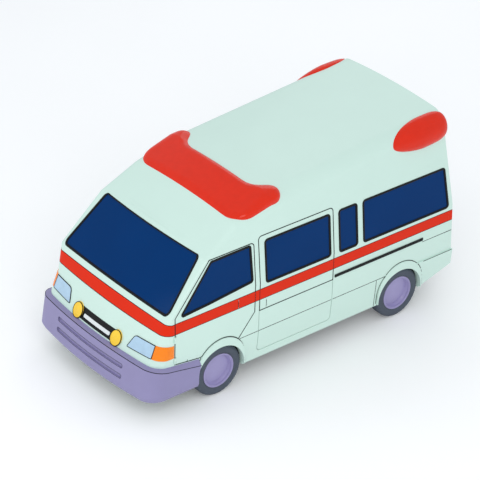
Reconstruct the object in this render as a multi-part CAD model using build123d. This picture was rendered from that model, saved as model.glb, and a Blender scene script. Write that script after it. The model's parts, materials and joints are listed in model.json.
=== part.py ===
from build123d import *
import math
import os

# Compact high-roof van ambulance. Millimetres, +X forward, +Y vehicle left, +Z up, ground at z = 0.

# Overall
FRONT_OVERHANG = 916.0
WHEELBASE = 2228.0
REAR_OVERHANG = 676.0
BODY_HALF = 845.0
BUMPER_PROUD = 45.0
FRONT_X = (FRONT_OVERHANG + WHEELBASE + REAR_OVERHANG) / 2
REAR_X = -FRONT_X
FRONT_AXLE_X = FRONT_X - FRONT_OVERHANG
REAR_AXLE_X = REAR_X + REAR_OVERHANG

# Wheels
TYRE_R = 262.0
TYRE_W = 150.0
RIM_FLANGE_R = TYRE_R - 87.0
RIM_SEAT_R = RIM_FLANGE_R - 18.0
RIM_W = 134.0
RIM_WALL = 7.0
WHEEL_MID_Y = BODY_HALF - 92.0
HUB_BORE_R = 24.05
SPINDLE_R = 24.0
SPINDLE_REACH = 8.0
KINGPIN_Y = WHEEL_MID_Y - 53.0
AXLE_Z = TYRE_R
# x of the axle, side
WHEELS = {
    "front_left": (FRONT_AXLE_X, 1),
    "front_right": (FRONT_AXLE_X, -1),
    "rear_left": (REAR_AXLE_X, 1),
    "rear_right": (REAR_AXLE_X, -1),
}

# Wheel arches: a round opening under a raised brow with upright ends
ARCH_R = TYRE_R + 14.0
BROW_R = ARCH_R + 9.0
BROW_RISE = 78.0
BROW_PROUD = 8.0
LINER_R = TYRE_R + 38.0
LINER_T = 8.0
LINER_Y = (BODY_HALF - 333.0, BODY_HALF - 67.0)

# Body skin
WALL = 45.0
SILL_Z = 225.0
LOWER_CREASE_Z = 540.0
UPPER_CREASE_Z = 758.0
BELT_Z = 1055.0
CANT_Z = 1545.0
CROWN_DEG = 5.0
# height, half width
SIDE_FORM = [
    (SILL_Z, BODY_HALF - 21),
    (LOWER_CREASE_Z, BODY_HALF),
    (BELT_Z, BODY_HALF - 7),
    (2200.0, BODY_HALF - 145),
]
ROOF_REAR_Z = 2074.0
# x of the section, height of its top edge, radius of that edge
STATIONS = [
    (FRONT_X - 98, 590.0, 150.0),
    (FRONT_X - 185, 763.0, 150.0),
    (FRONT_X - 330, 1052.0, 45.0),
    (FRONT_X - 754, 1492.0, 38.0),
    (FRONT_X - 1124, 1710.0, 110.0),
    (FRONT_X - 1515, 1850.0, 150.0),
    (REAR_X - 90, ROOF_REAR_Z, 150.0),
]
# height, x of the nose at its middle, bow of the nose in plan, radius of its corners in plan
NOSE_FORM = [
    (80.0, FRONT_X - 102, 5000.0, 150.0),
    (585.0, FRONT_X - 102, 5000.0, 150.0),
    (775.0, FRONT_X - 190, 5600.0, 140.0),
    (BELT_Z, FRONT_X - 311, 30000.0, 50.0),
]
NOSE_SPREAD = 2.0
# height, x of the rear wall
REAR_FORM = [(100.0, REAR_X + 12), (560.0, REAR_X + 12), (BELT_Z, REAR_X + 38), (2300.0, REAR_X + 198)]

# Panels and their seams
GAP = 6.0
SEAT = 0.3
PILLAR_LOW = (FRONT_X - 373, 1045.0)
PILLAR_TOP = (FRONT_X - 785, 1490.0)
DOOR_REAR_X = FRONT_AXLE_X - 388
SLIDE_FRONT_X = DOOR_REAR_X - 58
SLIDE_W = 893.0
SLIDE_REAR_X = SLIDE_FRONT_X - SLIDE_W
SLIDE_LOW_Z = 310.0
SLIDE_TOP_Z = 1520.0
TAILGATE_LOW_Z = 553.0
TAILGATE_TOP_Z = ROOF_REAR_Z - 284
TAILGATE_LOW_Y = BODY_HALF - 145
TAILGATE_TOP_Y = BODY_HALF - 245
GROOVE_HALF = 3.5
GROOVE_DEPTH = 4.0
HANDLE_H = 90.0
HANDLE_DEPTH = 9.0

# Glass
GLASS_OUT = 3.0
GLASS_IN = 8.7
GLASS_LAP = 14.0
WINDOW_LOW_Z = 1045.0
WINDOW_TOP_Z = 1455.0
VENT_FRONT_X = SLIDE_REAR_X - 82
VENT_REAR_X = VENT_FRONT_X - 203
QUARTER_FRONT_X = VENT_REAR_X - 98

# Under the floor
FLOOR_Z = AXLE_Z + LINER_R + LINER_T + 55
FLOOR_T = 35.0
FLOOR_TOP = FLOOR_Z + FLOOR_T
RAIL_Y = LINER_Y[0] - 112
RAIL_W = 60.0
RAIL_H = 100.0
RAIL_LOW_Z = FLOOR_Z - RAIL_H
RAIL_REAR_X = REAR_X + 110
RAIL_FRONT_X = FRONT_X - 210
ARM_OFFSET = 98.0
ARM_T = 16.0
PIN_R = 12.0
PIN_BORE_R = 12.05

# Hinges: pins on the outer skin line in the middle of the seam
HINGE_PIN_R = 6.0
HINGE_BORE_R = 6.05
HINGE_R = 11.0
HINGE_CLEAR_R = 12.5
HINGE_HALF = 30.0
HINGE_BARREL_HALF = 17.7
DOOR_HINGE_X = PILLAR_LOW[0] - GAP / 2
DOOR_HINGE_Y = BODY_HALF + 0.5
DOOR_HINGES_Z = (600.0, 825.0)
TAIL_HINGES_Y = (260 - TAILGATE_TOP_Y, TAILGATE_TOP_Y - 260)

# Beyond every face, for cutting tools
WIDE = BODY_HALF + 300
FAR = FRONT_X + 700
HIGH = 2600.0


def along(table, at):
    """Linear reading of a two-column table."""
    for (a0, b0), (a1, b1) in zip(table, table[1:]):
        if at <= a1:
            break
    return b0 + (b1 - b0) * (at - a0) / (a1 - a0)


def box(x0, x1, y0, y1, z0, z1):
    mid = ((x0 + x1) / 2, (y0 + y1) / 2, (z0 + z1) / 2)
    return Pos(*mid) * Box(x1 - x0, y1 - y0, z1 - z0)


def cyl_y(x, z, r, y0, y1):
    return Pos(x, (y0 + y1) / 2, z) * Rot(90, 0, 0) * Cylinder(r, y1 - y0)


def cyl_x(y, z, r, x0, x1):
    return Pos((x0 + x1) / 2, y, z) * Rot(0, 90, 0) * Cylinder(r, x1 - x0)


def outline(points, radius=0.0, grow=0.0):
    line = FilletPolyline(*points, radius=radius, close=True) if radius else Polyline(*points, close=True)
    face = make_face(line)
    return offset(face, amount=grow, kind=Kind.INTERSECTION) if grow else face


def rounded(corners):
    """A closed outline from rows of u, v and corner radius."""
    face = make_face(Polyline(*[(u, v) for u, v, _ in corners], close=True))
    for u, v, radius in corners:
        if radius:
            face = fillet(face.vertices().sort_by_distance((u, v, 0))[0], radius)
    return face


def grown(corners, grow):
    """The same outline grown on all sides."""
    face = rounded(corners)
    return offset(face, amount=grow, kind=Kind.INTERSECTION) if grow else face


def side_prism(face, y0, y1):
    """An X-Z outline carried along Y."""
    return extrude(Plane((0, y0, 0), x_dir=(1, 0, 0), z_dir=(0, -1, 0)) * face, amount=-(y1 - y0))


def front_prism(face, x0, x1):
    """A Y-Z outline carried along X."""
    return extrude(Plane((x0, 0, 0), x_dir=(0, 1, 0), z_dir=(1, 0, 0)) * face, amount=x1 - x0)


def plan_prism(face, z0, z1):
    """An X-Y outline carried along Z."""
    return extrude(Pos(0, 0, z0) * face, amount=z1 - z0)


def flip(shape):
    return mirror(shape, about=Plane.XZ)


def moved_in(points, inset):
    """The roof profile moved inward by inset, square to each of its runs."""
    normals = []
    for (x0, z0), (x1, z1) in zip(points, points[1:]):
        run = math.hypot(x1 - x0, z1 - z0)
        normals.append(Vector((z1 - z0) / run, (x0 - x1) / run))
    moved = []
    for (x, z), a, b in zip(points, normals[:1] + normals, normals + normals[-1:]):
        step = (a + b) * (inset / (1 + a.dot(b)))
        moved.append((x - step.X, z - step.Y))
    return moved


def section(x, top, radius, inset):
    """One closed cross-section of the body: side, rounded top edge, crowned top."""
    def half(z):
        return along(SIDE_FORM, z) - inset

    low = SILL_Z - (80.0 if inset > 1 else 0.0)
    radius = max(radius - inset, 14.0)
    lean = math.atan2(half(top - 60) - half(top), 60)
    rise = math.radians(CROWN_DEG)
    corner = Vector(0, half(top), top)
    down = Vector(0, math.sin(lean), -math.cos(lean))
    inward = Vector(0, -math.cos(rise), math.sin(rise))
    turn = math.pi / 2 + lean + rise
    reach = radius / math.tan(turn / 2)
    start = corner + down * reach
    end = corner + inward * reach
    middle = corner + (down + inward).normalized() * (radius / math.sin(turn / 2) - radius)
    crest = end.Z + end.Y * math.tan(rise / 2)
    z_a = min(LOWER_CREASE_Z, low + 0.45 * (start.Z - low))
    z_b = min(BELT_Z, low + 0.85 * (start.Z - low))
    left = [Vector(0, half(z), z) for z in (low, z_a, z_b)]

    def at(v, side):
        return (x, side * v.Y, v.Z)

    edges = [Line(at(a, 1), at(b, 1)) for a, b in zip(left, left[1:] + [start])]
    edges.append(ThreePointArc(at(start, 1), at(middle, 1), at(end, 1)))
    edges.append(ThreePointArc(at(end, 1), (x, 0, crest), at(end, -1)))
    edges.append(ThreePointArc(at(end, -1), at(middle, -1), at(start, -1)))
    edges += [Line(at(a, -1), at(b, -1)) for a, b in zip([start] + left[:0:-1], left[::-1])]
    edges.append(Line(at(left[0], -1), at(left[0], 1)))
    return Wire([e.edge() for e in edges])


def behind(inset):
    """All that lies behind the rear wall moved forward by inset."""
    line = [(x + inset, z) for z, x in REAR_FORM]
    return side_prism(outline(line + [(-FAR, line[-1][1]), (-FAR, line[0][1])]), -WIDE, WIDE)


def bowed_ring(half, front_x, bow_r, corner_r, back_x, height_at):
    """A U-shaped plan line with a bowed front, closed across its back; height_at gives z from x."""
    def at(x, y):
        return (x, y, height_at(x))

    mid_x = front_x - bow_r
    corner_x = mid_x + math.sqrt((bow_r - corner_r) ** 2 - (half - corner_r) ** 2)
    angle = math.atan2(half - corner_r, corner_x - mid_x)
    touch = (mid_x + bow_r * math.cos(angle), bow_r * math.sin(angle))
    turn_mid = (angle + math.pi / 2) / 2
    middle = (corner_x + corner_r * math.cos(turn_mid), half - corner_r + corner_r * math.sin(turn_mid))
    edges = [
        Line(at(back_x, half), at(corner_x, half)),
        ThreePointArc(at(corner_x, half), at(*middle), at(*touch)),
        ThreePointArc(at(*touch), at(front_x, 0), at(touch[0], -touch[1])),
        ThreePointArc(at(touch[0], -touch[1]), at(middle[0], -middle[1]), at(corner_x, -half)),
        Line(at(corner_x, -half), at(back_x, -half)),
        Line(at(back_x, -half), at(back_x, half))]
    return Wire([e.edge() for e in edges])


def before_nose(inset):
    """All that lies before and beside the bowed nose, its face moved inward by inset."""
    back_x = PILLAR_LOW[0] - 200
    rings = []
    for z, front_x, bow_r, corner_r in NOSE_FORM:
        half = along(SIDE_FORM, z) - inset + NOSE_SPREAD
        corner = max(corner_r - inset, 14.0)
        rings.append(bowed_ring(half, front_x - 1.1 * inset, bow_r, corner, back_x, lambda x, z=z: z))
    block = box(back_x + 50, FAR, -WIDE, WIDE, NOSE_FORM[0][0] + 1, BELT_Z - 5)
    return block - Solid.make_loft(rings, ruled=True)


def hull(inset):
    """The body as a closed form, its skin moved inward by inset."""
    profile = moved_in([row[:2] for row in STATIONS], inset)
    wires = [section(x, top, row[2], inset) for (x, top), row in zip(profile, STATIONS)]
    return Solid.make_loft(wires, ruled=True) - behind(inset) - before_nose(inset)


def hinge(fixed, moving, places):
    """Puts a pin with two end lugs on the fixed piece and a barrel round it on the moving one."""
    lug_half = HINGE_HALF - HINGE_BARREL_HALF - SEAT
    for place in places:
        fixed = fixed - place * Cylinder(HINGE_CLEAR_R, 2 * HINGE_BARREL_HALF + 2)
        moving = moving + place * Cylinder(HINGE_R, 2 * HINGE_BARREL_HALF)
        moving = moving - place * Cylinder(HINGE_BORE_R, 2 * HINGE_HALF + 4)
        fixed = fixed + place * Cylinder(HINGE_PIN_R, 2 * HINGE_HALF)
        for end in (-1, 1):
            lug = place * Pos(0, 0, end * (HINGE_HALF - lug_half / 2))
            moving = moving - lug * Cylinder(HINGE_CLEAR_R, lug_half + 2 * SEAT)
            fixed = fixed + lug * Cylinder(HINGE_R, lug_half)
    return fixed, moving


nodes = {}

# Skins
outer = hull(0.0)
inner = hull(WALL)
room = hull(WALL + SEAT)
shell = outer - inner
proud_skin = hull(-5.0)
glass_skin = hull(GLASS_OUT) - hull(GLASS_IN)
rabbet_skin = proud_skin - hull(GLASS_IN + SEAT)
groove_skin = proud_skin - hull(GROOVE_DEPTH)
handle_skin = proud_skin - hull(HANDLE_DEPTH)


def left_side(face):
    return side_prism(face, 300.0, WIDE)


def nose(face):
    return front_prism(face, PILLAR_LOW[0] + 8, FAR)


def at_windshield(face):
    return front_prism(face, STATIONS[3][0] - 150, STATIONS[1][0])


def at_tailgate(face):
    return front_prism(face, -FAR, REAR_X + 210)


def glaze(panel, prism_of, face_of):
    """Cuts a window with its rabbet into a panel and returns the panel and its pane."""
    panel = panel - prism_of(face_of(0.0)) - (rabbet_skin & prism_of(face_of(GLASS_LAP)))
    return panel, glass_skin & prism_of(face_of(GLASS_LAP - SEAT))


def pane_of(points, radius):
    return lambda grow: outline(points, radius, grow)


def upright(x0, x1, top_x1=None):
    """Window outline between two x places, its rear edge leaning to top_x1."""
    rear_top = x1 if top_x1 is None else top_x1
    return [(x0, WINDOW_LOW_Z), (x0, WINDOW_TOP_Z), (rear_top, WINDOW_TOP_Z), (x1, WINDOW_LOW_Z)]


def brow(axle, grow=0.0):
    """Side outline of an arch brow, carried through the whole side."""
    top = AXLE_Z + BROW_RISE
    face = Pos(axle, top) * Circle(BROW_R + grow) + Pos(axle, top / 2) * Rectangle(2 * (BROW_R + grow), top)
    return side_prism(face, LINER_Y[0] - 200, WIDE)


def groove(x0, x1, z):
    return groove_skin & box(x0, x1, 600, WIDE, z - GROOVE_HALF, z + GROOVE_HALF)


def upright_groove(skin, x, z0, z1):
    return skin & box(x - GROOVE_HALF, x + GROOVE_HALF, 600, WIDE, z0, z1)


def handle(x, z):
    return upright_groove(handle_skin, x, z, z + HANDLE_H)


# Outlines in side view
pillar = [(PILLAR_LOW[0], 50), PILLAR_LOW, PILLAR_TOP, (PILLAR_TOP[0], CANT_Z)]
front_zone = outline(pillar + [(FAR, CANT_Z), (FAR, 50)])
side_zone = outline(pillar + [(-FAR, CANT_Z), (-FAR, 50)])
DOOR_LOW_FRONT_Z = 560.0
DOOR_LOW_REAR_Z = 521.0
DOOR_CUT_Z = 770.0
# x, z, corner radius
DOOR = [
    (PILLAR_LOW[0] - GAP, DOOR_LOW_FRONT_Z, 0),
    (PILLAR_LOW[0] - GAP, PILLAR_LOW[1] - 2, 0),
    (PILLAR_TOP[0] - 4, PILLAR_TOP[1] - GAP, 14),
    (DOOR_REAR_X, PILLAR_TOP[1] - GAP, 36),
    (DOOR_REAR_X, DOOR_CUT_Z, 0),
    (FRONT_AXLE_X - 182, DOOR_LOW_REAR_Z + 7, 0),
    (FRONT_AXLE_X + 256, DOOR_LOW_REAR_Z, 0),
]
slide_points = [
    (SLIDE_REAR_X, SLIDE_LOW_Z), (SLIDE_FRONT_X, SLIDE_LOW_Z),
    (SLIDE_FRONT_X, SLIDE_TOP_Z), (SLIDE_REAR_X, SLIDE_TOP_Z)]
tail_points = [
    (-TAILGATE_LOW_Y, TAILGATE_LOW_Z), (TAILGATE_LOW_Y, TAILGATE_LOW_Z),
    (TAILGATE_TOP_Y, TAILGATE_TOP_Z), (-TAILGATE_TOP_Y, TAILGATE_TOP_Z)]
WINDSHIELD = [
    (-BODY_HALF + 73, 1064), (BODY_HALF - 73, 1064), (BODY_HALF - 165, 1484), (-BODY_HALF + 165, 1484)]
WINDSHIELD_CORNER_R = 28.0
SLIDE_CORNER_R = 36.0
TAILGATE_CORNER_R = 60.0
windshield_hole = at_windshield(outline(WINDSHIELD, WINDSHIELD_CORNER_R))
front_brow = brow(FRONT_AXLE_X)
rear_brow = brow(REAR_AXLE_X)
door_prism = left_side(rounded(DOOR)) - brow(FRONT_AXLE_X, GAP)
door_hole = left_side(grown(DOOR, GAP)) - front_brow
slide_prism = left_side(outline(slide_points, SLIDE_CORNER_R))
slide_hole = left_side(outline(slide_points, SLIDE_CORNER_R, GAP))
tail_prism = front_prism(outline(tail_points, TAILGATE_CORNER_R), -FAR, REAR_X + 260)
tail_hole = front_prism(outline(tail_points, TAILGATE_CORNER_R, GAP), -FAR, REAR_X + 260)

# Rear bumper: all below the lower crease from the rear arch back
bumper_zone = box(-FAR, REAR_AXLE_X - 166, -WIDE, WIDE, 0, LOWER_CREASE_Z)
bumper_zone = bumper_zone - rear_brow - flip(rear_brow)
rear_rise = outline([
    (REAR_AXLE_X - BROW_R, 0), (REAR_AXLE_X - BROW_R, SILL_Z + 20),
    (REAR_X, SILL_Z + 145), (-FAR, SILL_Z + 145), (-FAR, 0)])
rear_bumper = (hull(REAR_X - REAR_FORM[0][1]) - inner) & bumper_zone
nodes["rear_bumper"] = rear_bumper - side_prism(rear_rise, -WIDE, WIDE)

# Side panels with their arch brows, and the posts beside the tailgate
whole_side = (shell & left_side(side_zone)) - windshield_hole - door_hole - slide_hole
whole_side = whole_side - tail_hole - bumper_zone
post = whole_side & behind(WALL)
side = whole_side - behind(WALL + SEAT)
for axle, prism in ((FRONT_AXLE_X, front_brow), (REAR_AXLE_X, rear_brow)):
    proud = box(axle - 400, axle + 400, BODY_HALF - 25, BODY_HALF + BROW_PROUD, SILL_Z + 20, HIGH) & prism
    side = side + proud - cyl_y(axle, AXLE_Z, ARCH_R, 300, WIDE)
RAIL_STRIP_X = (REAR_X + 413, SLIDE_REAR_X - 23)
RAIL_STRIP_Z = 792.0
RAIL_STRIP_HALF = 14.0
side = side - groove(REAR_AXLE_X, FRONT_AXLE_X, LOWER_CREASE_Z)
side = side - groove(-FAR, RAIL_STRIP_X[0], UPPER_CREASE_Z)
side = side - upright_groove(groove_skin, REAR_AXLE_X + BROW_R + 30, SILL_Z - 1, LOWER_CREASE_Z)
QUARTER_REAR_X = (REAR_X + 105, REAR_X + 153)
side, vent = glaze(side, left_side, pane_of(upright(VENT_FRONT_X, VENT_REAR_X), 22))
side, quarter = glaze(side, left_side, pane_of(upright(QUARTER_FRONT_X, *QUARTER_REAR_X), 22))
nodes["side_panels"] = [side, flip(side)]

# Rails that the sliding doors run back on
strip = (hull(-9.0) - hull(-SEAT)) & box(
    *RAIL_STRIP_X, 600, WIDE, RAIL_STRIP_Z - RAIL_STRIP_HALF, RAIL_STRIP_Z + RAIL_STRIP_HALF)
nodes["slide_rails"] = [strip, flip(strip)]

# Sliding doors
slide = (shell & slide_prism) - groove(-FAR, FAR, LOWER_CREASE_Z) - groove(-FAR, FAR, UPPER_CREASE_Z)
slide = slide - handle(SLIDE_FRONT_X - 80, UPPER_CREASE_Z + GROOVE_HALF + 8)
slide, pane = glaze(slide, left_side, pane_of(upright(SLIDE_FRONT_X - 82, SLIDE_REAR_X + 51), 22))
nodes["slide_doors"] = [slide, flip(slide)]
nodes["side_glass"] = [p for one in (pane, vent, quarter) for p in (one, flip(one))]

# Front doors
DOOR_WINDOW = [
    (PILLAR_LOW[0] - 82, WINDOW_LOW_Z - 3, 10), (PILLAR_TOP[0] - 28, WINDOW_TOP_Z, 16),
    (DOOR_REAR_X + 49, WINDOW_TOP_Z + 3, 16), (DOOR_REAR_X + 39, WINDOW_LOW_Z + 67, 16)]


door = (shell & door_prism) - windshield_hole - handle(DOOR_REAR_X + 196, 880.0)
door, pane = glaze(door, left_side, lambda grow: grown(DOOR_WINDOW, grow))
nodes["door_glass_left"] = pane
nodes["door_glass_right"] = flip(pane)

# Roof and tailgate
TAILGATE_WINDOW = [
    (-BODY_HALF + 235, 1070), (BODY_HALF - 235, 1070), (BODY_HALF - 275, 1465), (-BODY_HALF + 275, 1465)]
gate, nodes["tailgate_glass"] = glaze(shell & tail_prism, at_tailgate, pane_of(TAILGATE_WINDOW, 45))
roof = (shell & box(-FAR, FAR, -WIDE, WIDE, CANT_Z, HIGH)) - tail_hole
tail_hinge = (along(REAR_FORM, TAILGATE_TOP_Z + GAP / 2) - 0.5, TAILGATE_TOP_Z + GAP / 2)
places = [Pos(tail_hinge[0], y, tail_hinge[1]) * Rot(90, 0, 0) for y in TAIL_HINGES_Y]
nodes["roof"], nodes["tailgate"] = hinge(roof, gate, places)

# Front panel with its lamps, bars and plate recess
LAMP_PROUD = 5.0
FOG_PROUD = 14.0
GRILLE_PROUD = 3.0
PLATE_DEPTH = 4.0
HEADLAMP_SPLIT_Y = BODY_HALF - 98
HEADLAMP = [
    (BODY_HALF - 408, 638, 8), (BODY_HALF - 355, 764, 48),
    (HEADLAMP_SPLIT_Y - 4, 768, 4), (HEADLAMP_SPLIT_Y, 646, 4)]
TURN_LAMP = [
    (HEADLAMP_SPLIT_Y + 4, 646), (HEADLAMP_SPLIT_Y, 768), (BODY_HALF + 55, 766), (BODY_HALF + 55, 632)]
FOG_Y = BODY_HALF - 555
FOG_Z = 652.0
FOG_R = 70.0
GRILLE_Z = (598.0, 706.0)
PLATE_HALF = FOG_Y - 90
PLATE_Z = (624.0, 660.0)
GRILLE = [(-FOG_Y, GRILLE_Z[0]), (FOG_Y, GRILLE_Z[0]), (FOG_Y, GRILLE_Z[1]), (-FOG_Y, GRILLE_Z[1])]
PLATE = [(-PLATE_HALF, PLATE_Z[0]), (PLATE_HALF, PLATE_Z[0]), (PLATE_HALF, PLATE_Z[1]), (-PLATE_HALF, PLATE_Z[1])]


def on_nose(prism, proud):
    return (hull(-proud) - inner) & prism


front = shell & side_prism(front_zone, -WIDE, WIDE)
front, nodes["windshield"] = glaze(front, at_windshield, pane_of(WINDSHIELD, WINDSHIELD_CORNER_R))
head_prism = nose(rounded(HEADLAMP))
turn_prism = nose(outline(TURN_LAMP))
fog_prism = cyl_x(FOG_Y, FOG_Z, FOG_R, STATIONS[1][0] - 120, FAR)
fog_hole = cyl_x(FOG_Y, FOG_Z, FOG_R + SEAT, STATIONS[1][0] - 120, FAR)
head = on_nose(head_prism, LAMP_PROUD)
turn = on_nose(turn_prism, LAMP_PROUD)
fog = on_nose(fog_prism, FOG_PROUD)
nodes["headlamps"] = [head, flip(head)]
nodes["turn_lamps"] = [turn, flip(turn)]
nodes["fog_lamps"] = [fog, flip(fog)]
grille = on_nose(nose(outline(GRILLE)), GRILLE_PROUD) - fog_hole - flip(fog_hole)
plate_recess = nose(outline(PLATE)) & (hull(-GRILLE_PROUD - 2) - hull(PLATE_DEPTH - GRILLE_PROUD))
nodes["grille"] = grille - plate_recess
hole = nose(grown(HEADLAMP, SEAT)) + nose(outline(TURN_LAMP, 0, SEAT))
front = front - hole - flip(hole) - fog_hole - flip(fog_hole) - nose(outline(GRILLE, 0, SEAT))
door_right = flip(door)
for hand in (1, -1):
    places = [Pos(DOOR_HINGE_X, hand * DOOR_HINGE_Y, z) for z in DOOR_HINGES_Z]
    if hand > 0:
        front, door = hinge(front, door, places)
    else:
        front, door_right = hinge(front, door_right, places)
nodes["front_panel"] = front
nodes["door_left"] = door
nodes["door_right"] = door_right

# Front bumper: a hollow moulding open below and behind
BUMPER_END_X = FRONT_AXLE_X + 260
BUMPER_BOW_R = 5000.0
BUMPER_CORNER_R = 190.0
BUMPER_T = 26.0
BUMPER_SLOT_DEPTH = 15.0
BUMPER_SLOT = (980.0, 36.0)
BUMPER_SLOTS_Z = (372.0, 479.0)
# height at the front, height at the side end, setback of the front, setback of the sides
BUMPER_FORM = [
    (235.0, 235.0, 20.0, 16.0),
    (275.0, 270.0, 0.0, 0.0),
    (587.0, 462.0, 40.0, 2.0),
    (602.0, 512.0, 125.0, 48.0),
]


def bumper_ring(z_front, z_end, front_setback, side_setback):
    """One plan line of the bumper, tilted from front to end."""
    def height_at(x):
        return z_end + (z_front - z_end) * (x - BUMPER_END_X) / (FRONT_X - BUMPER_END_X)

    return bowed_ring(
        BODY_HALF + BUMPER_PROUD - side_setback, FRONT_X - front_setback, BUMPER_BOW_R,
        BUMPER_CORNER_R - side_setback, BUMPER_END_X - 60, height_at)


def bumper_form(inset, drop=0.0):
    """The bumper as a closed form, its faces moved in by inset, its ends of height moved down by drop."""
    drops = (drop * 3, 0, 0, drop)
    rows = [(a - d, b - d, f + inset, s + inset) for (a, b, f, s), d in zip(BUMPER_FORM, drops)]
    return Solid.make_loft([bumper_ring(*row) for row in rows], ruled=True)


bumper = bumper_form(0.0) - bumper_form(BUMPER_T, BUMPER_T) - hull(-SEAT)
for z in BUMPER_SLOTS_Z:
    slot = front_prism(Pos(0, z) * RectangleRounded(*BUMPER_SLOT, 14), FRONT_X - 200, FAR)
    bumper = bumper - (slot - bumper_form(BUMPER_SLOT_DEPTH))
arch = brow(FRONT_AXLE_X, SEAT)
bumper_back = box(0, BUMPER_END_X, -WIDE, WIDE, 0, HIGH) + arch + flip(arch)
nodes["front_bumper"] = bumper - bumper_back

# Beacons: a bar across the front of the high roof and an egg on each rear corner
BEACON_PROUD = 36.0
BEACON_FRONT_X = STATIONS[4][0] + 8
BEACON_REAR_X = BEACON_FRONT_X - 386
BEACON_TIP_X = BEACON_FRONT_X - 560
BEACON_HALF = BODY_HALF - 70
# x, y and corner radius of the plan, left half
beacon_half = [
    (BEACON_FRONT_X, BEACON_HALF, 180), (BEACON_TIP_X, BEACON_HALF, 70),
    (BEACON_TIP_X, BEACON_HALF - 142, 60), (BEACON_REAR_X, BEACON_HALF - 285, 150)]
beacon_plan = rounded(beacon_half + [(x, -y, r) for x, y, r in beacon_half[::-1]])
beacon = (hull(-BEACON_PROUD) - hull(-SEAT)) & plan_prism(beacon_plan, CANT_Z, HIGH)

EGG_MID_X = REAR_X + 420
EGG_NOSE = 405.0
EGG_TAIL = 306.0
EGG_HALF = 152.0
EGG_BULGE = 98.0
EGG_MID_YZ = (BODY_HALF - 148, ROOF_REAR_Z - 174)
EGG_TILT_DEG = 22.0
egg_line = EllipticalCenterArc((0, 0), EGG_NOSE, EGG_HALF, 0, arc_size=90)
egg_line = egg_line + EllipticalCenterArc((0, 0), EGG_TAIL, EGG_HALF, 90, arc_size=90)
egg = revolve(make_face(egg_line + Line((-EGG_TAIL, 0), (EGG_NOSE, 0))), axis=Axis.X)
egg = scale(egg, by=(1, EGG_BULGE / EGG_HALF, 1))
egg = Pos(EGG_MID_X, *EGG_MID_YZ) * Rot(EGG_TILT_DEG, 2.5, 0) * egg
egg = egg - hull(-SEAT)
nodes["beacons"] = [beacon, egg, flip(egg)]

# Tail lamps in the posts
TAIL_LAMP = [
    (TAILGATE_LOW_Y + 28, 600), (BODY_HALF - 46, 600), (BODY_HALF - 46, 800), (TAILGATE_LOW_Y + 16, 800)]
TAIL_LAMP_X = REAR_X + 50
tail_lamp = (proud_skin - hull(WALL - 10)) & front_prism(outline(TAIL_LAMP), -FAR, TAIL_LAMP_X)
nodes["tail_lamps"] = [tail_lamp, flip(tail_lamp)]
post = post - front_prism(outline(TAIL_LAMP, 0, SEAT), -FAR, TAIL_LAMP_X + SEAT)
nodes["rear_posts"] = [post, flip(post)]

# Floor, set between the walls, clear of the front doors
floor = box(-FAR, FRONT_X - 150, -WIDE, WIDE, FLOOR_Z, FLOOR_TOP) & room
door_side = box(DOOR_REAR_X - 40, PILLAR_LOW[0] + 20, BODY_HALF - WALL - 12, WIDE, 0, HIGH)
nodes["floor"] = floor - door_side - flip(door_side)

# Ladder frame: two rails, cross members set between them, towing eyes under the end members
MEMBER_HALF = 30.0
MEMBER_X = (RAIL_REAR_X + 110, (RAIL_REAR_X + RAIL_FRONT_X) / 2 - 510, RAIL_FRONT_X - 40)
TOW_T = 16.0
TOW_BORE_R = 20.0
TOW_R = 40.0
TOW_Z = {MEMBER_X[0]: AXLE_Z + 8, MEMBER_X[2]: AXLE_Z - 77}
JACK_PADS_X = (FRONT_AXLE_X - 354, REAR_AXLE_X + 714)
JACK_R = 38.0
JACK_H = 20.0
rail = box(RAIL_REAR_X, RAIL_FRONT_X, RAIL_Y - RAIL_W / 2, RAIL_Y + RAIL_W / 2, RAIL_LOW_Z, FLOOR_Z)
for x in JACK_PADS_X:
    rail = rail + plan_prism(Pos(x, RAIL_Y) * Circle(JACK_R), RAIL_LOW_Z - JACK_H, RAIL_LOW_Z)
ladder = [rail, flip(rail)]
between = RAIL_Y - RAIL_W / 2 - SEAT
for x in MEMBER_X:
    member = box(x - MEMBER_HALF, x + MEMBER_HALF, -between, between, RAIL_LOW_Z, FLOOR_Z - 10)
    if x in TOW_Z:
        z = TOW_Z[x]
        member = member + box(x - TOW_R, x + TOW_R, -TOW_T / 2, TOW_T / 2, z, RAIL_LOW_Z)
        member = member + cyl_y(x, z, TOW_R, -TOW_T / 2, TOW_T / 2) - cyl_y(x, z, TOW_BORE_R, -50, 50)
    ladder.append(member)
nodes["chassis_frame"] = ladder

# Wheel houses, hung from the floor
liners = []
for axle in (FRONT_AXLE_X, REAR_AXLE_X):
    liner = cyl_y(axle, AXLE_Z, LINER_R + LINER_T, *LINER_Y) - cyl_y(axle, AXLE_Z, LINER_R, 0, WIDE)
    liner = liner & box(axle - 400, axle + 400, 0, WIDE, AXLE_Z + 20, HIGH)
    tab = box(axle - 60, axle + 60, LINER_Y[0] + 28, LINER_Y[1] - 38, AXLE_Z + LINER_R + 2, FLOOR_Z)
    tab = tab - cyl_y(axle, AXLE_Z, LINER_R + LINER_T / 2, 0, WIDE)
    liners += [liner + tab, flip(liner + tab)]
nodes["wheel_houses"] = liners

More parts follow.
